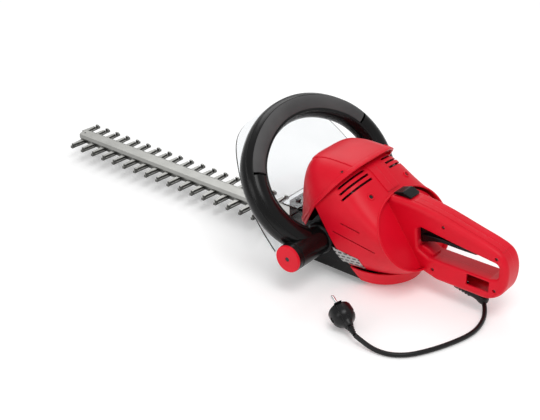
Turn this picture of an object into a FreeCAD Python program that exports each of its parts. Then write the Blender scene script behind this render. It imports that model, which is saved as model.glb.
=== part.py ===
import FreeCAD, Part
import math
import os

from FreeCAD import Vector as V

# Hedge trimmer, millimetres. +X runs to the blade's tip, +Y to the tool's left, +Z up.
# The origin is the centre of the flat face that the gear housing rests on.

# ---- cutting bar ----
PITCH = 25.0                 # tooth to tooth
TEETH = 19                   # comb teeth on each side
TIP_X = 608.0                # front tooth of the left side
TOOTH_REACH = 44.0           # middle of the bar to a comb tooth's tip
CUTTER_REACH = 36.0          # middle of the bar to a cutter tooth's tip
BAR_HALF = 15.0              # half the width of rail and blades
ROOT_HALF = 4.2              # half a tooth's width at the bar
POINT_HALF = 1.9             # half a tooth's width at its tip
COMB_Z = 24.0                # underside of the fixed comb
BLADE_T = 2.5
SLIDE_GAP = 0.08             # between the cutter and what it slides on
RAIL_T = 4.5
RAIL_START = 96.0
RAIL_END = 628.0
CUTTER_LEAD = 3.0            # how far the cutter stands ahead of the comb at rest
STROKE_HALF = 10.0
BOLT_X = (153.0, 265.0, 380.0, 495.0, 600.0)
BOLT_R = 2.5
SPACER_R = 4.0

# ---- gear train ----
MOTOR_X = 30.0
GEAR_MODULE = 1.25
PINION_TEETH = 8
GEAR_TEETH = 56
CENTRE_DISTANCE = GEAR_MODULE * (PINION_TEETH + GEAR_TEETH) / 2.0
GEAR_X = MOTOR_X + CENTRE_DISTANCE
GEAR_Z = 35.0
GEAR_T = 9.0
CRANK_PIN_R = 5.5
SHAFT_R = 4.0
SHAFT_NOSE_R = 2.6           # the motor shaft's thin end, which the pinion is pressed on

# ---- motor ----
STATOR_R = 42.0
STATOR_BORE = 26.0
ARMATURE_R = 25.3
STACK_Z = 64.0
STACK_T = 46.0
FAN_Z = 54.0
FAN_T = 8.0
FAN_R = 44.0
BEARING_R = 11.0
BEARING_T = 7.0
LOWER_BEARING_Z = 45.6
UPPER_BEARING_Z = 131.0

# ---- housing ----
WALL = 2.6
SPLIT_Z = 28.0               # skirt line between the casing and the bottom pan
BASE_HALF = 40.0
NOSE_X = 146.0
CASE_HALF = 60.0
NOSE_HALF = 32.0
CASE_TOP = 72.0

# ---- side hubs and loop handle ----
HUB_X = 61.0
HUB_Z = 58.0
HUB_R = 20.0
HUB_END = 141.0
CAP_T = 4.0
LOOP_LEAN = math.radians(40.5)
LOOP_R = 18.0
LOOP_HALF = 132.0            # middle line, half width
LOOP_MID = 78.0              # middle of the oval above the hub axis
LOOP_RISE = 103.0            # oval's half height
STRIP_DEPTH = 13.0           # the switch strip starts this far behind the loop's plane

# ---- rear handle ----
GRIP_HALF = 19.5
FLANGE_X = -46.0
FLANGE_Z = 81.0
FLANGE_TILT = math.radians(36.0)
FLANGE_A = 80.0
FLANGE_B = 58.0

# ---- mains lead ----
CORD_R = 3.25


def box(x0, x1, y0, y1, z0, z1):
    return Part.makeBox(x1 - x0, y1 - y0, z1 - z0, V(x0, y0, z0))


def rod(radius, length, base, axis=V(0, 0, 1)):
    return Part.makeCylinder(radius, length, base, axis)


def tube(radius, bore, length, base, axis=V(0, 0, 1)):
    return rod(radius, length, base, axis).cut(rod(bore, length, base, axis))


def slab_xz(points, y0, y1):
    """A side-view outline of (x, z) points, as thick as y0 to y1."""
    wire = Part.makePolygon([V(x, y0, z) for x, z in points + [points[0]]])
    return Part.Face(wire).extrude(V(0, y1 - y0, 0))


def slab_xy(points, z0, z1):
    """A plan outline of (x, y) points, as thick as z0 to z1."""
    wire = Part.makePolygon([V(x, y, z0) for x, y in points + [points[0]]])
    return Part.Face(wire).extrude(V(0, 0, z1 - z0))


def mirror_y(shape):
    return shape.mirror(V(0, 0, 0), V(0, 1, 0))


def half_space(side):
    """The room on one side of the middle plane."""
    if side > 0:
        return box(-400, 800, 0, 400, -100, 400)
    return box(-400, 800, -400, 0, -100, 400)


def fillet_where(shape, radius, test):
    edges = [edge for edge in shape.Edges if test(edge)]
    return shape.makeFillet(radius, edges)


def save(name, shape):
    os.makedirs("parts", exist_ok=True)
    if isinstance(shape, (list, tuple)):
        shape = Part.makeCompound(list(shape))
    shape.exportStep("parts/" + name + ".step")


# ---------------------------------------------------------------- cutting bar

def tooth_positions(side):
    """Front-to-back x of the teeth; the right side has one more at the front."""
    first = TIP_X if side > 0 else TIP_X + PITCH
    count = TEETH if side > 0 else TEETH + 1
    return [first - PITCH * i for i in range(count)]


def bar_plan(half, x0, x1, z0, z1):
    """A flat bar with a rounded front end."""
    nose = rod(half, z1 - z0, V(x1 - half, 0, z0))
    return box(x0, x1 - half, -half, half, z0, z1).fuse(nose)


def teeth(reach, z0, z1, shift):
    shapes = []
    for side in (1, -1):
        for x in tooth_positions(side):
            centre = x + shift
            outline = [(centre - ROOT_HALF, 10.0 * side), (centre + ROOT_HALF, 10.0 * side),
                       (centre + POINT_HALF, reach * side), (centre - POINT_HALF, reach * side)]
            shapes.append(slab_xy(outline, z0, z1))
    return shapes


def blunt_blocks(z0):
    """The raised stub at each comb tooth's tip, which keeps twigs and stones off the cutter."""
    shapes = []
    for side in (1, -1):
        for x in tooth_positions(side):
            inner = sorted([side * (CUTTER_REACH + 1.6), side * (TOOTH_REACH - 3.0)])
            outer = sorted([side * (TOOTH_REACH - 3.0), side * TOOTH_REACH])
            shapes.append(box(x - 2.4, x + 2.4, inner[0], inner[1], z0, z0 + 7.4))
            shapes.append(box(x - 2.4, x + 2.4, outer[0], outer[1], z0, z0 + 4.2))
    return shapes


def guard_comb():
    z1 = COMB_Z + BLADE_T
    bar = bar_plan(BAR_HALF - 0.6, 104.0, RAIL_END - 2.0, COMB_Z, z1)
    shape = bar.multiFuse(teeth(TOOTH_REACH - 2.0, COMB_Z, z1, 0.0) + blunt_blocks(COMB_Z))
    holes = [rod(BOLT_R, 10, V(x, 0, COMB_Z - 3)) for x in BOLT_X]
    return shape.cut(Part.makeCompound(holes)).removeSplitter()


def cutter_blade():
    """The sliding blade; its tang carries the cross slot that the crank pin works in."""
    z0 = COMB_Z + BLADE_T + SLIDE_GAP
    z1 = z0 + BLADE_T
    bar = bar_plan(BAR_HALF - 1.4, 96.0, RAIL_END - 12.0, z0, z1)
    tang = box(GEAR_X - 12.0, 100.0, -22.0, 22.0, z0, z1)
    shape = bar.multiFuse(teeth(CUTTER_REACH, z0, z1, CUTTER_LEAD) + [tang])
    back = STROKE_HALF - CUTTER_LEAD
    ahead = STROKE_HALF + CUTTER_LEAD
    half = SPACER_R + 0.3
    cuts = []
    for x in BOLT_X:
        cuts.append(box(x - back, x + ahead, -half, half, z0 - 1, z1 + 1))
        cuts.append(rod(half, 5, V(x - back, 0, z0 - 1)))
        cuts.append(rod(half, 5, V(x + ahead, 0, z0 - 1)))
    slot = CRANK_PIN_R + 0.15
    slot_x = GEAR_X + CUTTER_LEAD
    cuts.append(box(slot_x - slot, slot_x + slot, -17.0, 17.0, z0 - 1, z1 + 1))
    return shape.cut(Part.makeCompound(cuts)).removeSplitter()


def blade_rail():
    """The stiffening bar over the blades, with both long top edges chamfered."""
    z0 = COMB_Z + 2 * BLADE_T + 2 * SLIDE_GAP
    z1 = z0 + RAIL_T
    bar = bar_plan(BAR_HALF, RAIL_START, RAIL_END, z0, z1)
    low = RAIL_T - 2.5
    wedge = [(BAR_HALF + 1, z0 + low), (BAR_HALF + 1, z1 + 1), (BAR_HALF - 5.5, z1 + 1),
             (BAR_HALF - 5.5, z1), (BAR_HALF, z0 + low)]
    for side in (1, -1):
        wire = Part.makePolygon([V(RAIL_START - 5, side * y, z) for y, z in wedge + [wedge[0]]])
        bar = bar.cut(Part.Face(wire).extrude(V(RAIL_END - RAIL_START + 10, 0, 0)))
    holes = [rod(BOLT_R, RAIL_T - 1.0, V(x, 0, z0 - 0.2)) for x in BOLT_X]
    holes.append(rod(1.6, 10, V(RAIL_END - 7.0, 0, z0 - 1)))
    return bar.cut(Part.makeCompound(holes))


def rail_bolts():
    """Bolts from below: head under the comb, shank up into the rail."""
    top = COMB_Z + 2 * BLADE_T + 2 * SLIDE_GAP + RAIL_T - 1.2
    shapes = []
    for x in BOLT_X:
        head = rod(4.5, 3.0, V(x, 0, COMB_Z - 3.0))
        socket = rod(1.8, 1.8, V(x, 0, COMB_Z - 3.1))
        shank = rod(BOLT_R - 0.02, top - COMB_Z, V(x, 0, COMB_Z))
        shapes.append(head.fuse(shank).cut(socket))
    return shapes


def rail_spacers():
    z0 = COMB_Z + BLADE_T
    height = BLADE_T + 2 * SLIDE_GAP
    return [tube(SPACER_R, BOLT_R, height, V(x, 0, z0)) for x in BOLT_X]


# ---------------------------------------------------------------- gear train and motor

def toothed_disc(count, x, z, height, bore, thick):
    """A spur gear with straight-sided teeth about a vertical axis at x."""
    pitch_r = GEAR_MODULE * count / 2.0
    root_r = pitch_r - 1.25 * GEAR_MODULE
    tip_r = pitch_r + 0.85 * GEAR_MODULE
    step = 2 * math.pi / count
    points = []
    for i in range(count):
        middle = i * step + thick
        for share, radius in ((-0.30, root_r), (-0.11, tip_r), (0.11, tip_r), (0.30, root_r)):
            angle = middle + share * step
            points.append((x + radius * math.cos(angle), radius * math.sin(angle)))
    return slab_xy(points, z, z + height).cut(rod(bore, height + 2, V(x, 0, z - 1)))


def drive_gear():
    disc = toothed_disc(GEAR_TEETH, GEAR_X, GEAR_Z, GEAR_T, SHAFT_R, math.pi / GEAR_TEETH)
    windows = []
    for i in range(6):
        angle = math.radians(60 * i + 30)
        centre = V(GEAR_X + 22 * math.cos(angle), 22 * math.sin(angle), GEAR_Z - 1)
        windows.append(rod(6.5, GEAR_T + 2, centre))
    del windows[1]               # the crank pin sits here
    return disc.cut(Part.makeCompound(windows))


def crank_angle():
    return math.acos(CUTTER_LEAD / STROKE_HALF)


def crank_pin():
    """The pin under the gear that works the cutter; it ends just above the blade's slot."""
    angle = crank_angle()
    low = COMB_Z + 2 * BLADE_T + SLIDE_GAP + 0.4
    base = V(GEAR_X + STROKE_HALF * math.cos(angle), STROKE_HALF * math.sin(angle), low)
    return rod(CRANK_PIN_R, GEAR_Z - low, base)


def gear_shaft():
    return rod(SHAFT_R, LOWER_BEARING_Z + BEARING_T - GEAR_Z, V(GEAR_X, 0, GEAR_Z))


def bearing(x, z):
    return tube(BEARING_R, SHAFT_R + 0.03, BEARING_T, V(x, 0, z))


def motor_shaft():
    body = rod(SHAFT_R, UPPER_BEARING_Z + BEARING_T - LOWER_BEARING_Z, V(MOTOR_X, 0, LOWER_BEARING_Z))
    nose = rod(SHAFT_NOSE_R, LOWER_BEARING_Z - 33.0, V(MOTOR_X, 0, 33.0))
    return body.fuse(nose)


def stator():
    """A laminated ring with a flat on each side."""
    stack = tube(STATOR_R, STATOR_BORE, STACK_T, V(MOTOR_X, 0, STACK_Z))
    for low, high in ((38.0, 60.0), (-60.0, -38.0)):
        stack = stack.cut(box(-60, 120, low, high, STACK_Z - 1, STACK_Z + STACK_T + 1))
    return stack


def field_coils():
    """The two coils' end turns, which stand on top of the stack."""
    top = STACK_Z + STACK_T
    ring = tube(36.0, STATOR_BORE + 0.5, 5.0, V(MOTOR_X, 0, top))
    return [ring.common(box(MOTOR_X - 40, MOTOR_X + 40, low, high, top, top + 10))
            for low, high in ((8.0, 40.0), (-40.0, -8.0))]


def armature():
    core = tube(ARMATURE_R, SHAFT_R, STACK_T, V(MOTOR_X, 0, STACK_Z))
    slots = []
    for i in range(12):
        angle = 30.0 * i
        slot = box(ARMATURE_R - 3.0, ARMATURE_R + 1.0, -1.1, 1.1, STACK_Z - 1, STACK_Z + STACK_T + 1)
        slot.rotate(V(0, 0, 0), V(0, 0, 1), angle)
        slot.translate(V(MOTOR_X, 0, 0))
        slots.append(slot)
    return core.cut(Part.makeCompound(slots))


def commutator():
    return tube(11.5, SHAFT_R, 11.0, V(MOTOR_X, 0, 117.0))


def cooling_fan():
    hub = tube(12.0, SHAFT_R, FAN_T, V(MOTOR_X, 0, FAN_Z))
    plate = tube(FAN_R, 11.0, 1.6, V(MOTOR_X, 0, FAN_Z))
    blades = []
    for i in range(12):
        blade = box(14.0, FAN_R - 1.5, -0.8, 0.8, FAN_Z + 1.0, FAN_Z + FAN_T)
        blade.rotate(V(0, 0, 0), V(0, 0, 1), 30.0 * i)
        blade.translate(V(MOTOR_X, 0, 0))
        blades.append(blade)
    return hub.multiFuse([plate] + blades)


def brush_holders():
    shapes = []
    for side in (1, -1):
        span = sorted([side * 12.0, side * 27.0])
        shapes.append(box(MOTOR_X - 4.0, MOTOR_X + 4.0, span[0], span[1], 118.0, 127.0))
    return shapes


def bearing_bridge():
    """The cross plate over the motor that holds the upper bearing."""
    plate = box(MOTOR_X - 14, MOTOR_X + 14, -54.0, 54.0, 128.6, 131.0 + BEARING_T)
    plate = plate.cut(rod(BEARING_R, BEARING_T + 1, V(MOTOR_X, 0, UPPER_BEARING_Z)))
    plate = plate.cut(rod(SHAFT_R + 1.0, 10, V(MOTOR_X, 0, 125)))
    return plate


# ---------------------------------------------------------------- shells

def oval(x, z, tilt_deg, half_width, half_height, power, count=32):
    """A closed boxy oval; its upright direction leans forward by tilt_deg."""
    tilt = math.radians(tilt_deg)
    points = []
    for i in range(count):
        t = 2 * math.pi * i / count
        c, s = math.cos(t), math.sin(t)
        y = half_width * math.copysign(abs(c) ** (2.0 / power), c)
        h = half_height * math.copysign(abs(s) ** (2.0 / power), s)
        points.append(V(x + h * math.sin(tilt), y, z + h * math.cos(tilt)))
    curve = Part.BSplineCurve()
    curve.interpolate(Points=points, PeriodicFlag=True)
    return Part.Wire(curve.toShape())


CASING_SECTIONS = [
    # x, z, lean, half width, half height, squareness, from the flange to the hood
    (-48.5, 83.0, 36.0, 77.5, 57.0, 2.15),
    (-10.0, 83.0, 18.0, 76.0, 69.5, 2.6),
    (30.0, 84.0, 0.0, 75.5, 74.0, 3.1),
    (78.0, 86.0, 0.0, 76.0, 77.0, 3.2),
]


def casing_blank(inset, rear):
    wires = []
    for index, (x, z, lean, a, b, power) in enumerate(CASING_SECTIONS):
        if index == 0:
            x -= rear * math.cos(FLANGE_TILT)
            z += rear * math.sin(FLANGE_TILT)
        wires.append(oval(x, z, lean, a - inset, b - inset, power))
    return Part.makeLoft(wires, True, False)


LIP_TOP = (30.0, 158.0)
LIP_CORNER = (67.0, 108.0)
FRONT_LOW = (12.0, SPLIT_Z)
LIP_DIR = (0.5948, -0.8039)      # down along the hood's rear edge


def lip_point(along, ahead):
    """A side-view point measured from the lip's top: along the lip, and ahead of it."""
    x = LIP_TOP[0] + along * LIP_DIR[0] - ahead * LIP_DIR[1]
    z = LIP_TOP[1] + along * LIP_DIR[1] + ahead * LIP_DIR[0]
    return (x, z)


def casing():
    shell = casing_blank(0.0, 0.0).cut(casing_blank(WALL, 1.0))
    keep = [(-160.0, SPLIT_Z), FRONT_LOW, LIP_CORNER, lip_point(52, 7.0), lip_point(-30, 7.0),
            (-160.0, 200.0)]
    return shell.common(slab_xz(keep, -120, 120))


def casing_room():
    """The casing's wall and a little more all round, for what has to stay clear of it."""
    return casing_blank(-0.3, 0.3).cut(casing_blank(WALL + 0.3, 1.0))


def vent_slots():
    """Three air slots on each side, parallel to the hood's edge, that run down round the corner."""
    cuts = []
    for k in range(3):
        behind = -(2.8 + 8.0 * k)
        low = 20.0 + 1.5 * k
        corners = [lip_point(-20, behind), lip_point(low, behind), lip_point(low, behind - 3.2),
                   lip_point(-20, behind - 3.2)]
        for side in (1, -1):
            span = sorted([side * 21.0, side * 74.0])
            cuts.append(slab_xz(corners, span[0], span[1]))
    return cuts


def side_slits():
    cuts = []
    for side in (1, -1):
        span = sorted([side * 60.0, side * 90.0])
        upper = [(24.0, 97.8), (-8.0, 94.0), (-8.0, 92.2), (24.0, 96.0)]
        lower = [(37.0, 81.2), (-34.0, 72.2), (-34.0, 70.4), (37.0, 79.4)]
        cuts.append(slab_xz(upper, span[0], span[1]))
        cuts.append(slab_xz(lower, span[0], span[1]))
    return cuts


def motor_casing(side):
    shell = casing().cut(Part.makeCompound(vent_slots() + side_slits()))
    return shell.common(half_space(side))


def bottom_pan():
    """The round pan under the motor; its front is cut off along the casing's front edge."""
    rim = SPLIT_Z - 0.2
    profile = [(0, 0), (47, 0), (57.5, 7.5), (66, rim), (66 - WALL, rim), (55.2, 8.8), (46, 3.0), (0, 3.0)]
    wire = Part.makePolygon([V(r, 0, z) for r, z in profile + [profile[0]]])
    pan = Part.Face(wire).revolve(V(0, 0, 0), V(0, 0, 1), 360)
    keep = [(-90, -1), (-7.8, -1), (11.8, SPLIT_Z), (-90, SPLIT_Z)]
    return pan.common(slab_xz(keep, -90, 90))


HOOD_HALF_WIDTH = 79.5
HOOD_HALF_HEIGHT = 87.0
HOOD_MIDDLE_Z = 83.0
HOOD_STATIONS = [
    # x, share of the full width, share of the full height, squareness
    (-10.0, 1.0, 1.0, 3.3), (15.0, 1.0, 1.0, 3.3), (40.0, 1.0, 1.0, 3.3), (60.0, 0.995, 1.0, 3.4),
    (76.0, 0.96, 0.99, 3.6), (88.0, 0.89, 0.965, 3.8), (98.0, 0.785, 0.92, 4.0), (105.0, 0.64, 0.83, 4.0),
    (108.5, 0.47, 0.66, 3.8),
]


def hood_blank(inset):
    """The domed front cover: full sections over the motor, closing to a rounded front."""
    wires = []
    for x, wide, high, power in HOOD_STATIONS:
        behind = inset if wide < 0.7 else 0.0
        droop = min(0.0, (x - 40.0) * 0.12)
        wires.append(oval(x - behind, HOOD_MIDDLE_Z + droop, 0.0, (HOOD_HALF_WIDTH - inset) * wide,
                          (HOOD_HALF_HEIGHT - inset) * high, power))
    return Part.makeLoft(wires, True, False)


HOOD_LOW = (85.0, CASE_TOP + 0.3)


def hood_cover():
    shell = hood_blank(0.0).cut(hood_blank(WALL))
    keep = [lip_point(0, 0), lip_point(62.2, 0), HOOD_LOW, (160, HOOD_LOW[1]), (160, 220), lip_point(-80, 0)]
    return shell.common(slab_xz(keep, -120, 120))


# ---------------------------------------------------------------- gear housing

def case_plan(inset):
    """The gear housing seen from above: wide at the motor, tapering to the nose."""
    rear = -6.0 + inset
    shoulder = 96.0 - 0.4 * inset
    front = NOSE_X - inset
    wide = CASE_HALF - inset
    narrow = NOSE_HALF - 0.4 * inset
    half = [(rear, wide), (shoulder, wide), (front, narrow)]
    return [(x, -y) for x, y in half] + half[::-1]


COLLAR_R = 23.0
COLLAR_START = 56.0
COLLAR_END = 76.0


def collar(side):
    """The rounded boss on the side of the gear housing that a hub is bolted to."""
    boss = rod(COLLAR_R, COLLAR_END - COLLAR_START, V(HUB_X, side * COLLAR_START, HUB_Z), V(0, side, 0))
    return fillet_where(boss, 6.0, lambda edge: abs(edge.CenterOfMass.y) > COLLAR_END - 0.1)


def gear_case_upper():
    deck = slab_xy(case_plan(0), 30.0, 49.0)
    hollow = slab_xy(case_plan(4.0), 29.0, 45.3)
    deck = deck.cut(hollow)
    for low, high in ((53.0, 61.0), (-61.0, -53.0)):
        deck = deck.cut(box(-10.0, 14.0, low, high, 29.0, 50.0))
    front = [(79, -57.6)] + case_plan(0)[1:5] + [(79, 57.6)]
    nose = slab_xy(front, 45.3, CASE_TOP)
    nose_low = slab_xy([(83, -53)] + case_plan(4.0)[1:5] + [(83, 53)], 45.0, CASE_TOP - 3.5)
    nose = nose.cut(nose_low).cut(rod(FAN_R + 2.0, 40, V(MOTOR_X, 0, 49.0)))
    shape = deck.fuse(nose)
    cheek = [(63.0, 99.0), (83.5, CASE_TOP), (96.0, 30.0), (16.5, 30.0), (35.0, 57.0)]
    for side in (1, -1):
        span = sorted([side * 54.0, side * 66.0])
        shape = shape.fuse(slab_xz(cheek, span[0], span[1]))
    bosses = [rod(BEARING_R + 3.0, BEARING_T + 0.4, V(x, 0, LOWER_BEARING_Z)) for x in (MOTOR_X, GEAR_X)]
    shape = shape.multiFuse(bosses)
    shape = shape.cut(rod(BEARING_R, 20, V(MOTOR_X, 0, LOWER_BEARING_Z)))
    shape = shape.cut(rod(BEARING_R, BEARING_T, V(GEAR_X, 0, LOWER_BEARING_Z)))
    shape = shape.cut(rod(SHAFT_R + 1.0, 30, V(MOTOR_X, 0, 35)))
    shape = shape.cut(rod(SHAFT_R + 1.0, 12, V(GEAR_X, 0, 35)))
    collars = [collar(1), collar(-1)]
    shape = shape.multiFuse(collars)
    tunnel = box(NOSE_X - 8, NOSE_X + 2, -BAR_HALF - 0.5, BAR_HALF + 0.5, 29.0, 34.6)
    return shape.cut(tunnel).removeSplitter()


def gear_case_lower_cover():
    """The black tray under the gears; its flat middle is what the tool stands on."""
    section = [(-BASE_HALF, 0.0), (BASE_HALF, 0.0), (CASE_HALF, 11.0), (CASE_HALF, 29.8), (-CASE_HALF, 29.8),
               (-CASE_HALF, 11.0)]
    wire = Part.makePolygon([V(-10, y, z) for y, z in section + [section[0]]])
    bar = Part.Face(wire).extrude(V(170, 0, 0))
    side_view = [(-7.2, 0.0), (132.0, 0.0), (NOSE_X, 14.0), (NOSE_X, 29.8), (13.4, 29.8)]
    tray = bar.common(slab_xz(side_view, -90, 90)).common(slab_xy(case_plan(0), -1, 31))
    hollow = slab_xz([(1.0, 3.5), (126.0, 3.5), (140.0, 14.0), (140.0, 31.0), (20.0, 31.0)], -90, 90)
    hollow = hollow.common(slab_xy(case_plan(4.0), -1, 32))
    wall = CASE_HALF - 4.0
    floor = BASE_HALF - 2.0
    inner = [(-floor, 3.5), (floor, 3.5), (wall, 13.5), (wall, 31), (-wall, 31), (-wall, 13.5)]
    wire = Part.makePolygon([V(-10, y, z) for y, z in inner + [inner[0]]])
    hollow = hollow.common(Part.Face(wire).extrude(V(170, 0, 0)))
    tray = tray.cut(hollow)
    seat = box(104.0, 141.0, -BAR_HALF, BAR_HALF, 3.0, COMB_Z)
    tray = tray.fuse(seat)
    mouth = box(138.0, NOSE_X + 2, -BAR_HALF - 0.5, BAR_HALF + 0.5, COMB_Z, 31.0)
    tooth_room = box(140.0, NOSE_X + 2, -38.0, 38.0, 26.2, 31.0)
    return tray.cut(mouth).cut(tooth_room).removeSplitter()


# ---------------------------------------------------------------- loop handle

def loop_frame():
    """Placement of the loop's own plane: x across the tool, y up the lean, z forward and down."""
    c, s = math.cos(LOOP_LEAN), math.sin(LOOP_LEAN)
    matrix = FreeCAD.Matrix(0, s, c, HUB_X, 1, 0, 0, 0, 0, c, -s, HUB_Z, 0, 0, 0, 1)
    return FreeCAD.Placement(matrix)


SIDE_R = 86.0
SIDE_C = LOOP_HALF - SIDE_R
TOP_R = (SIDE_C ** 2 + LOOP_RISE ** 2 - SIDE_R ** 2) / (2 * (LOOP_RISE - SIDE_R))
TOP_C = TOP_R - LOOP_RISE
JOIN_DEG = math.degrees(math.atan2(TOP_C, SIDE_C))


def sweep_round(face, radius, centre, start, end):
    """Turn a section face, drawn at (radius, 0) in the xz plane, about centre from start to end degrees."""
    profile = face.copy()
    profile.translate(V(radius, 0, 0))
    profile.rotate(V(0, 0, 0), V(0, 0, 1), start)
    profile.translate(centre)
    return profile.revolve(centre, V(0, 0, 1), end - start)


def sweep_loop(face, low_deg):
    """Sweep a section round the oval, from low_deg on the right, over the top, to the same on the left."""
    middle = V(0, LOOP_MID, 0)
    right = sweep_round(face, SIDE_R, middle + V(SIDE_C, 0, 0), low_deg, JOIN_DEG)
    top = sweep_round(face, TOP_R, middle + V(0, -TOP_C, 0), JOIN_DEG, 180 - JOIN_DEG)
    left = sweep_round(face, SIDE_R, middle + V(-SIDE_C, 0, 0), 180 - JOIN_DEG, 180 - low_deg)
    return right, top, left


def section_disc(radius):
    circle = Part.Circle(V(0, 0, 0), V(0, 1, 0), radius)
    return Part.Face(Part.Wire(circle.toShape()))


def section_rect(x0, x1, z0, z1):
    wire = Part.makePolygon([V(x0, 0, z0), V(x1, 0, z0), V(x1, 0, z1), V(x0, 0, z1), V(x0, 0, z0)])
    return Part.Face(wire)


def placed(shape):
    shape = shape.copy()
    shape.Placement = loop_frame().multiply(shape.Placement)
    return shape


LOOP_LOW_DEG = -52.0
NOTCH_DEG = 28.0
STRIP_HALF = 10.5
CHANNEL_DEPTH = 8.5


def swept_part(face, low_deg):
    right, top, left = sweep_loop(face, low_deg)
    return right.fuse(top).fuse(left)


def loop_front_half():
    """The hollow half shell that faces the blade."""
    ring = section_disc(LOOP_R).cut(section_disc(LOOP_R - 3.2))
    face = ring.common(section_rect(-20, 20, 0.05, 20)).Faces[0]
    return trim_at_hubs(swept_part(face, LOOP_LOW_DEG))


def loop_rear_half():
    """The half that faces the operator, with a channel for the switch strip."""
    face = section_disc(LOOP_R).common(section_rect(-20, 20, -20, -0.05))
    channel = section_rect(-STRIP_HALF - 0.4, STRIP_HALF + 0.4, -20, -CHANNEL_DEPTH)
    return trim_at_hubs(swept_part(face.cut(channel).Faces[0], LOOP_LOW_DEG))


def strip_face():
    bar = section_rect(-STRIP_HALF, STRIP_HALF, -20, -STRIP_DEPTH)
    return section_disc(LOOP_R - 0.1).common(bar).Faces[0]


def front_switch_strip():
    """The long bar in the back of the loop that the front hand presses."""
    return placed(swept_part(strip_face(), NOTCH_DEG + 1.2))


def loop_trim(side):
    """The fixed continuation of the strip down to the hub."""
    middle = V(0, LOOP_MID, 0)
    if side > 0:
        piece = sweep_round(strip_face(), SIDE_R, middle + V(SIDE_C, 0, 0), LOOP_LOW_DEG, NOTCH_DEG - 1.2)
    else:
        centre = middle + V(-SIDE_C, 0, 0)
        piece = sweep_round(strip_face(), SIDE_R, centre, 180 - NOTCH_DEG + 1.2, 180 - LOOP_LOW_DEG)
    return trim_at_hubs(piece)


def trim_at_hubs(piece):
    """Stop a piece of the loop at the surface of the hubs."""
    solid = placed(piece)
    hubs = rod(HUB_R + 0.05, 400, V(HUB_X, -200, HUB_Z), V(0, 1, 0))
    below = box(-100, HUB_X + 60, -200, 200, -60, HUB_Z + 4)
    return biggest(solid.cut(hubs).cut(below))


def biggest(shape):
    return max(shape.Solids, key=lambda solid: solid.Volume)


# ---------------------------------------------------------------- hubs

def side_hub(side):
    """The thick cross tube that carries the loop's end."""
    axis = V(0, side, 0)
    hub = tube(HUB_R, 6.0, HUB_END - COLLAR_END, V(HUB_X, side * COLLAR_END, HUB_Z), axis)
    groove = tube(HUB_R + 1, HUB_R - 1.0, 2.0, V(HUB_X, side * (HUB_END - 9.0), HUB_Z), axis)
    return hub.cut(groove)


def end_cap(side):
    axis = V(0, side, 0)
    cap = rod(HUB_R - 0.4, CAP_T, V(HUB_X, side * HUB_END, HUB_Z), axis)
    cap = fillet_where(cap, 1.5, lambda edge: abs(edge.CenterOfMass.y) > HUB_END + CAP_T - 0.1)
    cap = cap.cut(rod(3.4, 3.0, V(HUB_X, side * (HUB_END + 2.2), HUB_Z), axis))
    return cap.cut(rod(1.7, 10.0, V(HUB_X, side * (HUB_END - 1), HUB_Z), axis))


def cap_screws():
    shapes = []
    for side in (1, -1):
        axis = V(0, side, 0)
        head = rod(3.1, 1.4, V(HUB_X, side * (HUB_END + 2.2), HUB_Z), axis)
        shank = rod(1.6, 12.0, V(HUB_X, side * (HUB_END - 9.8), HUB_Z), axis)
        shapes.append(head.fuse(shank))
    return shapes


# ---------------------------------------------------------------- clear guard

GUARD_AHEAD = 32.0
GUARD_T = 2.5
GUARD_FOOT_HALF = 40.0
GUARD_LOW = 22.0
# Half of the shield's outline as (across, up the lean), from its lower corner to the middle of its top.
GUARD_EDGE = [
    (126.0, 16.0), (127.0, 62.0), (120.0, 108.0), (103.0, 150.0), (80.0, 180.0), (48.0, 194.0), (0.0, 198.0),
]


def clear_guard():
    """A clear shield ahead of the loop, on a flat clear foot that straddles the gear housing's nose."""
    right = [V(y, s, GUARD_AHEAD) for y, s in GUARD_EDGE]
    left = [V(-p.x, p.y, p.z) for p in reversed(right[:-1])]
    top = Part.BSplineCurve()
    top.interpolate(Points=right + left)
    foot_right = V(GUARD_FOOT_HALF, GUARD_LOW, GUARD_AHEAD)
    foot_left = V(-GUARD_FOOT_HALF, GUARD_LOW, GUARD_AHEAD)
    edges = [top.toShape()]
    for p, q in ((left[-1], foot_left), (foot_left, foot_right), (foot_right, right[0])):
        edges.append(Part.LineSegment(p, q).toShape())
    sheet = Part.Face(Part.Wire(edges)).extrude(V(0, 0, GUARD_T))
    sheet = placed(sheet)
    clear = box(40, 170, -CASE_HALF - 7.5, CASE_HALF + 7.5, 0, CASE_TOP + 0.1)
    sheet = sheet.cut(clear)
    foot = box(114.5, 153.0, -46.0, 46.0, CASE_TOP + 0.1, CASE_TOP + 0.1 + GUARD_T)
    foot = fillet_where(foot, 9.0, lambda edge: edge.BoundBox.ZLength > 2 and edge.CenterOfMass.x > 150)
    shape = sheet.fuse(foot)
    holes = [rod(2.2, 10, V(136.0, side * 24.0, CASE_TOP - 2)) for side in (1, -1)]
    return biggest(shape.cut(Part.makeCompound(holes)))


def guard_screws():
    shapes = []
    for side in (1, -1):
        head = rod(4.2, 2.4, V(136.0, side * 24.0, CASE_TOP + 0.1 + GUARD_T))
        head = head.cut(rod(1.6, 1.4, V(136.0, side * 24.0, CASE_TOP + 1.2 + GUARD_T)))
        shapes.append(head)
    return shapes


# ---------------------------------------------------------------- rear handle

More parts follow.
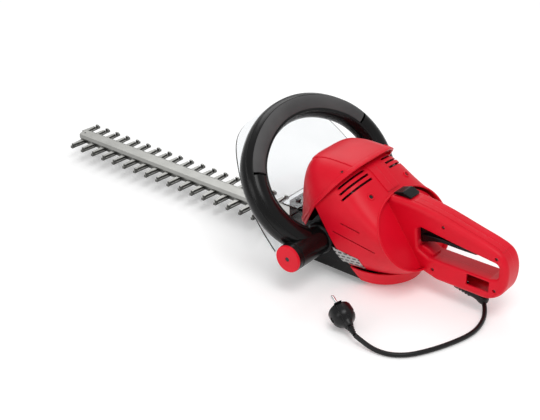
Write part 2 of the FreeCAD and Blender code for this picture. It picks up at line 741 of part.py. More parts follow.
def handle_outline(inset):
    """The D shape seen from the side, without its hand opening."""
    low = V(-81.0, 0, 30.0)
    ridge = [(-9.0, 127.0), (-40.0, 130.2), (-70.0, 128.0), (-101.0, 122.6), (-147.5, 111.6), (-178.0, 104.0),
             (-192.0, 97.0), (-200.5, 82.0), (-202.0, 62.0), (-196.5, 42.0), (-183.0, 29.5), (-165.0, 25.8)]
    points = [V(x, 0, z) for x, z in ridge]
    belly = V(-98.0, 0, 25.5)
    curve = Part.BSplineCurve()
    curve.interpolate(Points=points)
    lines = [(points[-1], belly), (belly, low), (low, points[0])]
    if inset:
        corners = curve.toShape().discretize(30) + [belly, low, points[0]]
        return Part.makePolygon(corners).makeOffset2D(-inset)
    return Part.Wire([curve.toShape()] + [Part.LineSegment(p, q).toShape() for p, q in lines])


HAND_OPENING = [(-62, 99.0), (-120, 91.5), (-189, 84.0), (-189, 62.0), (-176, 57.5), (-84, 56.5), (-66, 64.0)]


def hand_opening(grow):
    """The gap for the fingers, with round corners, straight through the handle."""
    wire = Part.makePolygon([V(x, -60, z) for x, z in HAND_OPENING + [HAND_OPENING[0]]])
    wire = wire.makeOffset2D(-7.0)
    return Part.Face(wire.makeOffset2D(7.0 + grow)).extrude(V(0, 120, 0))


def handle_slab(inset, half):
    face = Part.Face(handle_outline(inset))
    face.translate(V(0, -half, 0))
    return face.extrude(V(0, 2 * half, 0))


def on_side(edge, half):
    return edge.BoundBox.YLength < 0.01 and abs(abs(edge.CenterOfMass.y) - half) < 0.01


def ahead_of_flange(edge):
    """How far an edge's middle lies ahead of the flange plane."""
    centre = edge.CenterOfMass
    return (centre.x - FLANGE_X) * math.cos(FLANGE_TILT) - (centre.z - FLANGE_Z) * math.sin(FLANGE_TILT)


def handle_shell():
    outer = handle_slab(0.0, GRIP_HALF)
    outer = fillet_where(outer, 7.5, lambda edge: on_side(edge, GRIP_HALF) and ahead_of_flange(edge) < -3.0)
    outer = outer.cut(hand_opening(0.0))
    outer = fillet_where(outer, 4.0, lambda edge: on_side(edge, GRIP_HALF) and inside_opening(edge))
    inner = handle_slab(3.0, GRIP_HALF - 3.0).cut(hand_opening(3.0))
    return outer, inner


def inside_opening(edge):
    centre = edge.CenterOfMass
    return -190.0 < centre.x < -61.0 and 56.0 < centre.z < 99.5


def flange_disc(half_width, half_height, ahead, thick):
    """An oval plate across the casing's rear, square to the flange's lean."""
    n = V(math.cos(FLANGE_TILT), 0, -math.sin(FLANGE_TILT))
    x = FLANGE_X + ahead * n.x
    z = FLANGE_Z + ahead * n.z
    wire = oval(x, z, math.degrees(FLANGE_TILT), half_width, half_height, 2.15)
    return Part.Face(wire).extrude(n * thick)


def rear_handle_both():
    outer, inner = handle_shell()
    n = V(math.cos(FLANGE_TILT), 0, -math.sin(FLANGE_TILT))
    dish = flange_disc(FLANGE_A - 6.0, FLANGE_B - 4.5, 2.0, 3.2)
    shape = outer.fuse(dish).cut(casing_room())
    wires = flange_disc(15.0, 36.0, -3.0, 14.0)
    shape = shape.cut(inner).cut(wires)
    slot = box(-160.5, -50.0, -8.4, 8.4, 70.0, 104.0)
    shape = shape.cut(slot)
    stem_slot = box(-38.0, -22.0, -4.4, 4.4, 118.0, 140.0)
    shape = shape.cut(stem_slot)
    hook = box(-170.0, -150.0, -30.0, 30.0, 43.5, 50.0)
    hook = fillet_where(hook, 3.0, lambda edge: edge.BoundBox.YLength > 50)
    shape = shape.cut(hook)
    for low, high in ((13.5, 30.0), (-30.0, -13.5)):
        shape = shape.cut(box(-178.0, -144.0, low, high, 38.5, 55.0))
    for x, z in HANDLE_SCREWS:
        shape = shape.cut(rod(2.6, 60, V(x, -30, z), V(0, 1, 0)))
    shape = shape.cut(gland_cone(0.05))
    return shape


HANDLE_SCREWS = [(-103.0, 110.5), (-184.5, 92.0), (-92.0, 41.0), (-186.0, 44.0)]


def rear_handle(side, both):
    return biggest(both.common(half_space(side)))


def handle_screws():
    shapes = []
    for x, z in HANDLE_SCREWS:
        head = rod(2.55, 3.0, V(x, 13.2, z), V(0, 1, 0))
        shank = rod(1.5, 24.0, V(x, -10.8, z), V(0, 1, 0))
        shapes.append(head.fuse(shank))
    return shapes


TRIGGER_PIVOT = (-150.0, 94.0)


def trigger():
    """The long paddle under the grip, deep at the front, on a pivot near its rear end."""
    outline = [(-53.0, 104.0), (-53.5, 88.0), (-59.5, 75.0), (-67.0, 73.5), (-76.0, 79.0), (-100.0, 83.5),
               (-156.0, 83.0), (-158.5, 88.0), (-156.0, 98.0), (-148.0, 99.5), (-120.0, 98.0), (-66.0, 104.0)]
    paddle = slab_xz(outline, -8.0, 8.0)
    paddle = fillet_where(paddle, 2.5, lambda edge: edge.BoundBox.YLength < 0.01 and edge.CenterOfMass.z < 96)
    return paddle.cut(rod(2.05, 40, V(TRIGGER_PIVOT[0], -20, TRIGGER_PIVOT[1]), V(0, 1, 0)))


def trigger_pin():
    return rod(2.0, 32.6, V(TRIGGER_PIVOT[0], -16.3, TRIGGER_PIVOT[1]), V(0, 1, 0))


def switch_module():
    return box(-138.0, -104.0, -11.0, 11.0, 104.6, 109.0)


def lock_button():
    """The ribbed slide on top of the grip that has to be pushed forward before the trigger moves."""
    cap = [(-46.0, 131.8), (-45.0, 134.5), (-33.0, 138.0), (-19.5, 133.5), (-18.0, 131.2)]
    body = slab_xz(cap, -11.5, 11.5)
    body = fillet_where(body, 1.2, lambda edge: edge.BoundBox.YLength < 0.01 and edge.CenterOfMass.z > 132.5)
    for k in range(4):
        x = -30.0 + 2.6 * k
        body = body.cut(box(x, x + 1.0, -8.0, 8.0, 134.6, 140.0))
    stem = box(-37.0, -31.0, -4.0, 4.0, 121.0, 132.5)
    return body.fuse(stem)


# ---------------------------------------------------------------- mains lead

GLAND_START = V(-122.0, 0, 24.6)
GLAND_END = V(-163.0, 1.0, 13.5)
GLAND_ROOT_R = 8.8
GLAND_TIP_R = 7.6


def gland_cone(grow):
    way = GLAND_END - GLAND_START
    return Part.makeCone(GLAND_ROOT_R + grow, GLAND_TIP_R + grow, way.Length, GLAND_START, way)


def cord_gland():
    """The tapered sleeve under the grip; the lead leaves the side of its rounded end."""
    return gland_cone(0.0).fuse(Part.makeSphere(GLAND_TIP_R, GLAND_END))


# The lead's line, from inside the sleeve's rounded end, down to the floor and on to the plug.
CORD_ROUTE = [
    (-164.0, 2.0, 12.0), (-169.0, 7.0, 8.4), (-174.0, 14.5, 5.2), (-179.0, 25.0, 3.6),
    (-183.0, 39.0, 3.3), (-185.5, 56.5, 3.3), (-184.0, 75.0, 3.3), (-178.5, 94.5, 3.3),
    (-170.5, 116.5, 3.3), (-160.0, 139.0, 3.3), (-146.5, 160.5, 3.3), (-128.5, 174.5, 3.3),
    (-109.0, 178.8, 3.8), (-91.5, 178.5, 7.0), (-76.5, 177.5, 11.6),
]


def cord():
    """Straight runs joined by tangent arcs, each arc as large as its two runs allow."""
    points = [V(*p) for p in CORD_ROUTE]
    edges = []
    start = points[0]
    for before, corner, after in zip(points, points[1:], points[2:]):
        inward = (before - corner).normalize()
        outward = (after - corner).normalize()
        turn = math.pi - inward.getAngle(outward)
        reach = 0.45 * min((before - corner).Length, (after - corner).Length)
        radius = reach / math.tan(turn / 2)
        print("cord turn", round(math.degrees(turn), 1), "radius", round(radius, 1))
        first = corner + inward * reach
        last = corner + outward * reach
        bisector = (inward + outward).normalize()
        middle = corner + bisector * (radius / math.cos(turn / 2) - radius)
        edges.append(Part.LineSegment(start, first).toShape())
        edges.append(Part.Arc(first, middle, last).toShape())
        start = last
    edges.append(Part.LineSegment(start, points[-1]).toShape())
    path = Part.Wire(edges)
    tangent = (points[1] - points[0]).normalize()
    section = Part.Wire(Part.Circle(points[0], tangent, CORD_R).toShape())
    lead = path.makePipeShell([section], True, True)
    ideal = math.pi * CORD_R ** 2 * path.Length
    print("cord length", round(path.Length, 1), "volume share", round(lead.Volume / ideal, 4))
    return lead


PLUG_START = V(*CORD_ROUTE[-1])
PLUG_YAW = -29.0                 # degrees from +X
PLUG_PITCH = 10.4
PLUG_ROLL = 72.0                 # turns the line between the pins from level towards upright
PLUG_LENGTH = 50.0
PIN_R = 2.4
PIN_LENGTH = 19.0
PIN_SPACING = 19.0


def plug_body():
    """A moulded two-pin plug with a tapered boot, which the lead runs into face to face."""
    profile = [(0, 0), (4.4, 0), (6.5, 14), (9.0, 22), (14.0, 27), (17.5, 33), (18.2, 40),
               (18.2, PLUG_LENGTH), (0, PLUG_LENGTH)]
    wire = Part.makePolygon([V(h, 0, r) for r, h in profile + [profile[0]]])
    return laid(Part.Face(wire).revolve(V(0, 0, 0), V(1, 0, 0), 360))


def laid(shape):
    """Move a shape drawn along x onto the plug's axis."""
    turned = shape.copy()
    turned.Placement = FreeCAD.Placement(PLUG_START, FreeCAD.Rotation(PLUG_YAW, -PLUG_PITCH, PLUG_ROLL))
    return turned


def plug_pins():
    pins = []
    for side in (1, -1):
        base = V(PLUG_LENGTH, side * PIN_SPACING / 2, 0)
        pins.append(laid(rod(PIN_R, PIN_LENGTH, base, V(1, 0, 0))))
    return pins


# ---------------------------------------------------------------- trim and build

def side_label():
    """A thin metal plate on the left side of the casing."""
    outline = [(37.5, 55.0), (-6.0, 49.5), (-13.0, 31.0), (22.5, 34.0)]
    plate = slab_xz(outline, 40.0, 90.0)
    return plate.common(casing_blank(-0.7, 0.0).cut(casing_blank(-0.05, 0.0)))


def main():
    save("guard_comb", guard_comb())
    save("cutter_blade", cutter_blade())
    save("blade_rail", blade_rail())
    save("rail_bolts", rail_bolts())
    save("rail_spacers", rail_spacers())
    save("drive_gear", drive_gear())
    save("crank_pin", crank_pin())
    save("gear_shaft", gear_shaft())
    save("gear_shaft_bearing", bearing(GEAR_X, LOWER_BEARING_Z))
    save("motor_lower_bearing", bearing(MOTOR_X, LOWER_BEARING_Z))
    save("motor_upper_bearing", bearing(MOTOR_X, UPPER_BEARING_Z))
    save("motor_shaft", motor_shaft())
    save("motor_pinion", toothed_disc(PINION_TEETH, MOTOR_X, GEAR_Z, GEAR_T, SHAFT_NOSE_R, 0.0))
    save("motor_stator", stator())
    save("field_coils", field_coils())
    save("motor_armature", armature())
    save("commutator", commutator())
    save("cooling_fan", cooling_fan())
    save("brush_holders", brush_holders())
    save("bearing_bridge", bearing_bridge())
    save("motor_casing_left", motor_casing(1))
    save("motor_casing_right", motor_casing(-1))
    save("bottom_pan", bottom_pan())
    save("hood_cover", hood_cover())
    save("gear_case_upper", gear_case_upper())
    save("gear_case_lower_cover", gear_case_lower_cover())
    save("loop_front_half", loop_front_half())
    save("loop_rear_half", loop_rear_half())
    save("front_switch_strip", front_switch_strip())
    save("clear_guard", clear_guard())
    save("guard_screws", guard_screws())
    save("cap_screws", cap_screws())
    for name, side in (("left", 1), ("right", -1)):
        save("loop_trim_" + name, loop_trim(side))
        save("side_hub_" + name, side_hub(side))
        save("end_cap_" + name, end_cap(side))
    both = rear_handle_both()
    save("rear_handle_left", rear_handle(1, both))
    save("rear_handle_right", rear_handle(-1, both))
    save("handle_screws", handle_screws())
    save("trigger", trigger())
    save("trigger_pin", trigger_pin())
    save("switch_module", switch_module())
    save("lock_button", lock_button())
    save("side_label", side_label())
    save("cord_gland", cord_gland())
    save("cord", cord())
    save("plug_body", plug_body())
    save("plug_pins", plug_pins())


main()
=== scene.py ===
import math

import bpy
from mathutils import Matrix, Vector


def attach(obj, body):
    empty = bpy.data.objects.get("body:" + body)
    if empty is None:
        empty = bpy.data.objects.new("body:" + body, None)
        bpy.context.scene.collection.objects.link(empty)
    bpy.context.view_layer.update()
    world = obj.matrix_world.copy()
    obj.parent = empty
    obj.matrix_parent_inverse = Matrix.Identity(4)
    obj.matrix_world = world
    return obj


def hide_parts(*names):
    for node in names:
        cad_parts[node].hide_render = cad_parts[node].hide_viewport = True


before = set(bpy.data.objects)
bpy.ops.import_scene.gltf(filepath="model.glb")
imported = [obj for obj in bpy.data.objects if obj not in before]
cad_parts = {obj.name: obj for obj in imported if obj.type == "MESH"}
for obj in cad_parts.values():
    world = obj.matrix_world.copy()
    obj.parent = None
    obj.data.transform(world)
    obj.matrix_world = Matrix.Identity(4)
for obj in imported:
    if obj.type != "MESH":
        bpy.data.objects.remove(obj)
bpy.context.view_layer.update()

# ---------------------------------------------------------------- camera
# The tool is seen from behind its left shoulder and from above, with the blade pointing away. The
# camera stands about a metre and a half from it, with a fairly long lens.

CAMERA_PLACE = (-0.72391, 1.15106, 0.83032)
CAMERA_TILT = math.radians(61.3931)
CAMERA_TURN = math.radians(-140.9999)
CAMERA_LENS = 73.333

bpy.ops.object.select_all(action="DESELECT")
bpy.ops.object.camera_add(location=CAMERA_PLACE, rotation=(CAMERA_TILT, 0.0, CAMERA_TURN))
camera = bpy.context.object
camera.data.lens = CAMERA_LENS
camera.data.sensor_width = 36.0
bpy.context.scene.camera = camera

# ---------------------------------------------------------------- mains lead
# A black rubber lead that leaves the side of the strain relief's rounded end, drops to the floor and
# runs in a wide bend to the plug. It is extruded rubber over its cores, with a faint sheen.

LEAD_ROUTE = [
    (-0.1640, 0.0020, 0.0120), (-0.1690, 0.0070, 0.0084), (-0.1740, 0.0145, 0.0052),
    (-0.1790, 0.0250, 0.0036), (-0.1830, 0.0390, 0.0033), (-0.1855, 0.0565, 0.0033),
    (-0.1840, 0.0750, 0.0033), (-0.1785, 0.0945, 0.0033), (-0.1705, 0.1165, 0.0033),
    (-0.1600, 0.1390, 0.0033), (-0.1465, 0.1605, 0.0033), (-0.1285, 0.1745, 0.0033),
    (-0.1090, 0.1788, 0.0038), (-0.0915, 0.1785, 0.0070), (-0.0765, 0.1775, 0.0116),
]
LEAD_RADIUS = 0.00325


def moulded_finish(name, colour, shade, painted_edge_highlight, roughness, grain, depth, shine=0.35):
    """A moulded surface: a cloudy tint, a fine grain, patchy gloss, and a paler colour painted along its
    edges as a highlight.

    grain is how fine the grain is, depth is how deep it is in metres, and shine is its gloss.
    """
    finish = bpy.data.materials.new(name)
    finish.use_nodes = True
    nodes = finish.node_tree.nodes
    link = finish.node_tree.links.new
    skin = nodes["Principled BSDF"]
    skin.inputs["Specular IOR Level"].default_value = shine
    place = nodes.new("ShaderNodeTexCoord")
    cloud = nodes.new("ShaderNodeTexNoise")
    cloud.inputs["Scale"].default_value = 22.0
    cloud.inputs["Detail"].default_value = 4.0
    link(place.outputs["Object"], cloud.inputs["Vector"])
    tint = nodes.new("ShaderNodeValToRGB")
    tint.color_ramp.elements[0].position = 0.3
    tint.color_ramp.elements[0].color = (*shade, 1.0)
    tint.color_ramp.elements[1].position = 0.7
    tint.color_ramp.elements[1].color = (*colour, 1.0)
    link(cloud.outputs["Fac"], tint.inputs["Fac"])
    rounded = nodes.new("ShaderNodeBevel")
    rounded.samples = 4
    rounded.inputs["Radius"].default_value = 0.0007
    face = nodes.new("ShaderNodeNewGeometry")
    turned = nodes.new("ShaderNodeVectorMath")
    turned.operation = "DISTANCE"
    link(rounded.outputs["Normal"], turned.inputs[0])
    link(face.outputs["Normal"], turned.inputs[1])
    # Where the rounded normal turns away from the face's, a paler colour is mixed in: a painted highlight
    # along the edges.
    painted_edge_mask = nodes.new("ShaderNodeMapRange")
    painted_edge_mask.inputs["From Min"].default_value = 0.12
    painted_edge_mask.inputs["From Max"].default_value = 0.75
    painted_edge_mask.inputs["To Max"].default_value = 0.45
    link(turned.outputs["Value"], painted_edge_mask.inputs["Value"])
    edges = nodes.new("ShaderNodeMix")
    edges.data_type = "RGBA"
    link(painted_edge_mask.outputs["Result"], edges.inputs[0])
    link(tint.outputs["Color"], edges.inputs[6])
    edges.inputs[7].default_value = (*painted_edge_highlight, 1.0)
    link(edges.outputs[2], skin.inputs["Base Color"])
    gloss = nodes.new("ShaderNodeMapRange")
    gloss.inputs["To Min"].default_value = roughness - 0.06
    gloss.inputs["To Max"].default_value = roughness + 0.06
    link(cloud.outputs["Fac"], gloss.inputs["Value"])
    link(gloss.outputs["Result"], skin.inputs["Roughness"])
    speck = nodes.new("ShaderNodeTexNoise")
    speck.inputs["Scale"].default_value = grain
    speck.inputs["Detail"].default_value = 2.0
    link(place.outputs["Object"], speck.inputs["Vector"])
    skin_bump = nodes.new("ShaderNodeBump")
    skin_bump.inputs["Strength"].default_value = 0.5
    skin_bump.inputs["Distance"].default_value = depth
    link(speck.outputs["Fac"], skin_bump.inputs["Height"])
    link(rounded.outputs["Normal"], skin_bump.inputs["Normal"])
    link(skin_bump.outputs["Normal"], skin.inputs["Normal"])
    return finish


def give(piece, finish):
    """Puts one finish on every slot of a piece."""
    if not piece.material_slots:
        piece.data.materials.append(finish)
    for place in piece.material_slots:
        place.material = finish


lead_rubber = moulded_finish(
    "lead_rubber", colour=(0.005, 0.005, 0.0055), shade=(0.003, 0.003, 0.003), painted_edge_highlight=(0.03, 0.03, 0.03),
    roughness=0.36, grain=1600.0, depth=0.00010, shine=0.3)

lead_line = bpy.data.curves.new("mains_lead", "CURVE")
lead_line.dimensions = "3D"
run = lead_line.splines.new("NURBS")
run.points.add(len(LEAD_ROUTE) - 1)
for point, spot in zip(run.points, LEAD_ROUTE):
    point.co = (*spot, 1.0)
run.order_u = 3
run.use_endpoint_u = True
run.resolution_u = 8
lead_line.bevel_depth = LEAD_RADIUS
lead_line.bevel_resolution = 6
lead_line.use_fill_caps = True
mains_lead = bpy.data.objects.new("mains_lead", lead_line)
bpy.context.collection.objects.link(mains_lead)
give(mains_lead, lead_rubber)
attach(mains_lead, "housing")
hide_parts("cord")

# ---------------------------------------------------------------- strain relief
# A tapered rubber sleeve under the grip with rings moulded round it, ending in a round knob. The lead
# comes out of the knob's side. It is moulded on the lead and clamped between the handle's halves.

MM_IN_METRE = 1000.0             # turned and drawn pieces are given in millimetres
SLEEVE_START = Vector((-0.1220, 0.0, 0.0246))
SLEEVE_KNOB = Vector((-0.1630, 0.0010, 0.0135))
SLEEVE_PROFILE = [
    (8.8, 0.0), (8.7, 5.0), (7.7, 5.6), (7.7, 7.2), (8.6, 7.8), (8.6, 9.8), (7.6, 10.4), (7.6, 12.0),
    (8.4, 12.6), (8.4, 14.6), (7.4, 15.2), (7.4, 16.8), (8.2, 17.4), (8.2, 19.4), (7.2, 20.0),
    (7.2, 21.6), (8.0, 22.2), (7.9, 24.2), (6.8, 25.0), (6.3, 29.0), (6.2, 34.0), (6.6, 37.0),
    (7.3, 39.5), (7.6, 42.5),
    (7.3, 45.2), (6.2, 47.4), (4.4, 49.0), (2.2, 49.9),
]


def turned_piece(name, start, way, profile, sides=48, smooth=40.0):
    """A round piece drawn out of a disc, ring by ring: (radius, distance along) in millimetres."""
    bpy.ops.object.select_all(action="DESELECT")
    lean = way.to_track_quat("Z", "X").to_euler()
    radius, at = profile[0]
    spot = start + way * (at / MM_IN_METRE)
    bpy.ops.mesh.primitive_circle_add(vertices=sides, radius=radius / MM_IN_METRE, fill_type="NGON",
                                      location=spot, rotation=lean)
    piece = bpy.context.object
    piece.name = name
    bpy.ops.object.mode_set(mode="EDIT")
    bpy.ops.mesh.select_all(action="SELECT")
    for next_radius, next_at in profile[1:]:
        step = way * ((next_at - at) / MM_IN_METRE)
        spot = spot + step
        bpy.ops.mesh.extrude_region_move(TRANSFORM_OT_translate={"value": step})
        share = next_radius / radius
        bpy.ops.transform.resize(value=(share, share, share), center_override=spot)
        radius, at = next_radius, next_at
    bpy.ops.mesh.select_all(action="SELECT")
    bpy.ops.mesh.normals_make_consistent(inside=False)
    bpy.ops.object.mode_set(mode="OBJECT")
    bpy.ops.object.transform_apply(location=True, rotation=True, scale=True)
    bpy.ops.object.shade_smooth_by_angle(angle=math.radians(smooth))
    return piece


sleeve_way = (SLEEVE_KNOB - SLEEVE_START).normalized()
strain_relief = turned_piece("strain_relief", SLEEVE_START, sleeve_way, SLEEVE_PROFILE)
give(strain_relief, lead_rubber)
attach(strain_relief, "housing")
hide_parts("cord_gland")

# ---------------------------------------------------------------- plug
# A moulded two-pin mains plug. Its boot is ringed so that it bends with the lead, its round body has
# finger notches all round, and two chromed pins stand out of a slightly sunk face.

PLUG_START = Vector((-0.0765, 0.1775, 0.0116))
PLUG_WAY = Vector((0.86025, -0.47684, 0.18052)).normalized()
PIN_SIDE = Vector((-0.00034, 0.35351, 0.93543)).normalized()
PLUG_FLANK = PLUG_WAY.cross(PIN_SIDE)
PLUG_PROFILE = [
    (3.4, 0.0), (4.4, 0.3), (4.5, 2.2), (4.0, 2.6), (4.1, 3.8), (5.0, 4.2), (5.1, 6.2), (4.5, 6.6),
    (4.6, 7.8), (5.6, 8.2), (5.8, 10.2), (5.0, 10.6), (5.1, 11.8), (6.2, 12.2), (6.4, 14.2),
    (5.8, 14.6), (5.9, 15.8),
    (7.2, 16.4), (8.6, 21.0), (10.0, 23.4), (13.6, 26.6), (15.8, 29.2), (17.2, 32.4), (17.9, 36.0),
    (18.2, 40.0), (18.2, 47.0), (17.8, 49.0), (16.6, 50.0), (15.4, 50.0), (15.0, 49.2),
]
PIN_PROFILE = [(2.4, -1.5), (2.4, 17.4), (2.1, 18.4), (1.3, 19.0)]

PIN_APART = 0.0095                # from the plug's middle to each pin's
PLUG_FACE = 0.050                 # from the lead to the face that the pins stand on
GROOVE_STEP = 30.0                # degrees from one finger groove to the next
GROOVE_SPAN = 13.0

plug_plastic = moulded_finish(
    "plug_plastic", colour=(0.004, 0.004, 0.0045), shade=(0.0025, 0.0025, 0.003), painted_edge_highlight=(0.05, 0.05, 0.05),
    roughness=0.30, grain=900.0, depth=0.00012, shine=0.3)
plug_shell = turned_piece("plug_shell", PLUG_START, PLUG_WAY, PLUG_PROFILE, sides=60, smooth=35.0)


# Each mark lies between two distances along the plug, in metres.
GROOVE_ALONG = (0.030, 0.0482)
RIDGE_ALONG = (0.0165, 0.0485)
FLANK_ALONG = (0.0335, 0.0405)
RIDGE_HALF = 0.0042
RIDGE_FLOOR = 0.004
FLANK_OUT = 0.0150


def in_span(along, span):
    return span[0] < along < span[1]


def finger_groove(along, aside, up, face):
    turn = math.degrees(math.atan2(aside, up)) % GROOVE_STEP
    return in_span(along, GROOVE_ALONG) and abs(face.normal.dot(PLUG_WAY)) < 0.75 and turn < GROOVE_SPAN


def middle_ridge(along, aside, up, face):
    return in_span(along, RIDGE_ALONG) and abs(aside) < RIDGE_HALF and up > RIDGE_FLOOR


def flank_notch(along, aside, up, face):
    return in_span(along, FLANK_ALONG) and abs(aside) > FLANK_OUT


def press_plug(chosen, border, depth):
    """Raises or sinks the chosen faces of the plug together, inside a narrow border."""
    for face in plug_shell.data.polygons:
        out = face.center - PLUG_START
        face.select = chosen(out.dot(PLUG_WAY), out.dot(PLUG_FLANK), out.dot(PIN_SIDE), face)
    bpy.ops.object.mode_set(mode="EDIT")
    bpy.ops.mesh.select_mode(type="FACE")
    bpy.ops.mesh.inset(thickness=border, depth=depth)
    bpy.ops.object.mode_set(mode="OBJECT")


press_plug(finger_groove, border=0.0004, depth=-0.0016)
press_plug(middle_ridge, border=0.0005, depth=0.0017)
press_plug(flank_notch, border=0.0005, depth=-0.0026)
bpy.ops.object.shade_smooth_by_angle(angle=math.radians(35.0))
give(plug_shell, plug_plastic)
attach(plug_shell, "housing")
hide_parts("plug_body")


def metal_finish(name, colour, roughness, lines, along, depth, patch=0.75, side_shade=1.0):
    """Bare metal with fine working marks, duller patches, and painted shade on its upright faces.

    lines is how fine the marks are, along stretches them one way, depth is how deep they are in
    metres, patch is how dark the patches are, and the last argument is how dark the painted shade on the
    upright faces is.
    """
    finish = bpy.data.materials.new(name)
    finish.use_nodes = True
    nodes = finish.node_tree.nodes
    link = finish.node_tree.links.new
    skin = nodes["Principled BSDF"]
    skin.inputs["Metallic"].default_value = 1.0
    place = nodes.new("ShaderNodeTexCoord")
    stretch = nodes.new("ShaderNodeMapping")
    stretch.inputs["Scale"].default_value = along
    link(place.outputs["Object"], stretch.inputs["Vector"])
    marks = nodes.new("ShaderNodeTexNoise")
    marks.inputs["Scale"].default_value = lines
    marks.inputs["Detail"].default_value = 3.0
    link(stretch.outputs["Vector"], marks.inputs["Vector"])
    cloud = nodes.new("ShaderNodeTexNoise")
    cloud.inputs["Scale"].default_value = 45.0
    cloud.inputs["Detail"].default_value = 3.0
    link(place.outputs["Object"], cloud.inputs["Vector"])
    tint = nodes.new("ShaderNodeValToRGB")
    tint.color_ramp.elements[0].position = 0.3
    tint.color_ramp.elements[0].color = (*[c * patch for c in colour], 1.0)
    tint.color_ramp.elements[1].position = 0.65
    tint.color_ramp.elements[1].color = (*colour, 1.0)
    link(cloud.outputs["Fac"], tint.inputs["Fac"])
    # Faces that stand upright get a darker colour: painted shade, as if light fell only from above.
    face = nodes.new("ShaderNodeNewGeometry")
    level = nodes.new("ShaderNodeSeparateXYZ")
    link(face.outputs["Normal"], level.inputs["Vector"])
    painted_side_shade_mask = nodes.new("ShaderNodeMapRange")
    painted_side_shade_mask.inputs["From Min"].default_value = 0.4
    painted_side_shade_mask.inputs["From Max"].default_value = 0.9
    link(level.outputs["Z"], painted_side_shade_mask.inputs["Value"])
    sides = nodes.new("ShaderNodeMix")
    sides.data_type = "RGBA"
    sides.inputs[6].default_value = (*[c * side_shade for c in colour], 1.0)
    link(painted_side_shade_mask.outputs["Result"], sides.inputs[0])
    link(tint.outputs["Color"], sides.inputs[7])
    link(sides.outputs[2], skin.inputs["Base Color"])
    gloss = nodes.new("ShaderNodeMapRange")
    gloss.inputs["To Min"].default_value = roughness - 0.08
    gloss.inputs["To Max"].default_value = roughness + 0.12
    link(marks.outputs["Fac"], gloss.inputs["Value"])
    link(gloss.outputs["Result"], skin.inputs["Roughness"])
    rounded = nodes.new("ShaderNodeBevel")
    rounded.samples = 4
    rounded.inputs["Radius"].default_value = 0.0003
    marks_bump = nodes.new("ShaderNodeBump")
    marks_bump.inputs["Strength"].default_value = 0.4
    marks_bump.inputs["Distance"].default_value = depth
    link(marks.outputs["Fac"], marks_bump.inputs["Height"])
    link(rounded.outputs["Normal"], marks_bump.inputs["Normal"])
    link(marks_bump.outputs["Normal"], skin.inputs["Normal"])
    return finish


EVEN = (1.0, 1.0, 1.0)            # marks that run no way in particular
pin_chrome = metal_finish(
    "pin_chrome", colour=(0.78, 0.79, 0.80), roughness=0.18, lines=260.0, along=EVEN, depth=0.00004,
    patch=0.9)
for name, side in (("plug_pin_one", PIN_APART), ("plug_pin_two", -PIN_APART)):
    base = PLUG_START + PLUG_WAY * PLUG_FACE + PIN_SIDE * side
    pin = turned_piece(name, base, PLUG_WAY, PIN_PROFILE, sides=24)
    give(pin, pin_chrome)
    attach(pin, "housing")
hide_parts("plug_pins")

# ---------------------------------------------------------------- floor and light
# A plain white sweep of paper under three soft lamps, in a bright room. None of it belongs to the
# tool: it is there to show the shapes and to give the black plastic its soft highlights.

bpy.ops.object.select_all(action="DESELECT")
bpy.ops.mesh.primitive_plane_add(size=30.0, location=(0.0, 0.0, -0.0004))
floor = bpy.context.object
floor.name = "floor"
paper = bpy.data.materials.new("white_paper")
paper.use_nodes = True
paper_skin = paper.node_tree.nodes["Principled BSDF"].inputs
paper_skin["Base Color"].default_value = (0.93, 0.93, 0.93, 1.0)
paper_skin["Roughness"].default_value = 0.9
paper_skin["Specular IOR Level"].default_value = 0.1
paper_skin["Emission Color"].default_value = (1.0, 1.0, 1.0, 1.0)
paper_skin["Emission Strength"].default_value = 0.16
give(floor, paper)

room = bpy.data.worlds.new("studio")
room.use_nodes = True
room.node_tree.nodes["Background"].inputs["Color"].default_value = (1.0, 1.0, 1.0, 1.0)
room.node_tree.nodes["Background"].inputs["Strength"].default_value = 0.62
bpy.context.scene.world = room
bpy.context.scene.view_settings.view_transform = "Standard"

LAMPS = [
    # name, place, width, power in watts
    ("key_lamp", (-0.6, 0.5, 1.7), 0.9, 12.0),
    ("far_lamp", (1.2, -1.1, 1.5), 1.2, 9.0),
    ("left_lamp", (0.5, 1.9, 1.0), 0.9, 5.0),
]
LIT_SPOT = Vector((0.05, 0.0, 0.08))
for name, spot, size, power in LAMPS:
    bpy.ops.object.select_all(action="DESELECT")
    aim = (LIT_SPOT - Vector(spot)).to_track_quat("-Z", "Y").to_euler()
    bpy.ops.object.light_add(type="AREA", location=spot, rotation=aim)
    lamp = bpy.context.object
    lamp.name = name
    lamp.data.size = size
    lamp.data.energy = power

# ---------------------------------------------------------------- red housing
# The motor casing's two halves, the hood, the bottom pan, the rear handle's two halves and the hubs'
# end caps are moulded in one bright red plastic with a slightly satin skin, and are screwed together.

red_plastic = moulded_finish(
    "red_plastic", colour=(0.72, 0.003, 0.020), shade=(0.64, 0.002, 0.015), painted_edge_highlight=(0.84, 0.05, 0.07),
    roughness=0.40, grain=700.0, depth=0.00010, shine=0.22)


def finish_nodes(finish, *names):
    """Puts one finish on pieces of the frame."""
    for name in names:
        give(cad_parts[name], finish)


finish_nodes(red_plastic, "motor_casing_left", "motor_casing_right", "hood_cover", "bottom_pan",
             "rear_handle_left", "rear_handle_right", "end_cap_left", "end_cap_right")

# ---------------------------------------------------------------- raised fields on the red shells
# The hood has a raised middle panel and a thicker lip over the casing, the casing has a raised spine
# between its air slots, and the grip has a flat strip along its top. All are moulded in one with them.


